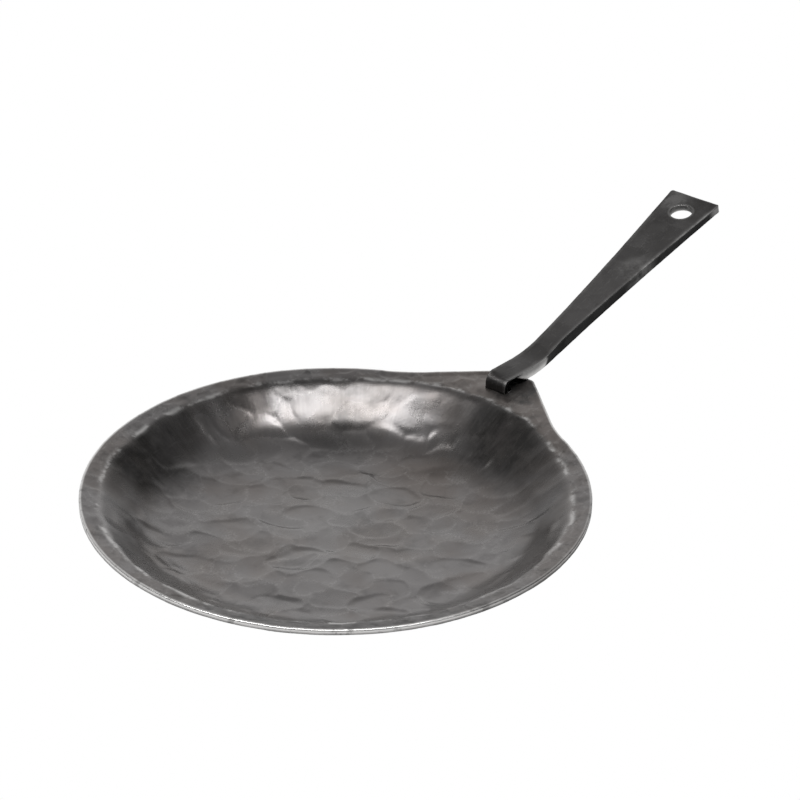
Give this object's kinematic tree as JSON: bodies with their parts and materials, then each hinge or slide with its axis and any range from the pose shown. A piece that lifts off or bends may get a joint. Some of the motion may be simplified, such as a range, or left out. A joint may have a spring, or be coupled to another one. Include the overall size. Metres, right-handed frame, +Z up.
{
  "type": "camping frying pan",
  "caption": "Shallow hand-forged steel frying pan with a hammered dish, a lipped rim, a slotted tab and a flat bar handle that hooks into the tab and unhooks for packing.",
  "frame": {"origin": "centre of the pan's flat base, on the surface that it stands on", "axes": "+Z up out of the dish, +X from the centre of the pan along the tab and the handle, +Y to the left of the handle"},
  "size_m": [0.4372, 0.25, 0.0707],
  "materials": {
    "hammered_steel": "satin",
    "forged_bar": "satin"
  },
  "bodies": {
    "pan": {"pan_body": "hammered_steel"},
    "handle": {"hook_handle": "forged_bar"}
  },
  "joints": [
    {"name": "handle_tilt", "type": "hinge", "parent": "pan", "child": "handle", "pos_m": [0.129, 0, 0.027], "axis": [0, -1, 0], "range_deg": [0, 90]}
  ]
}
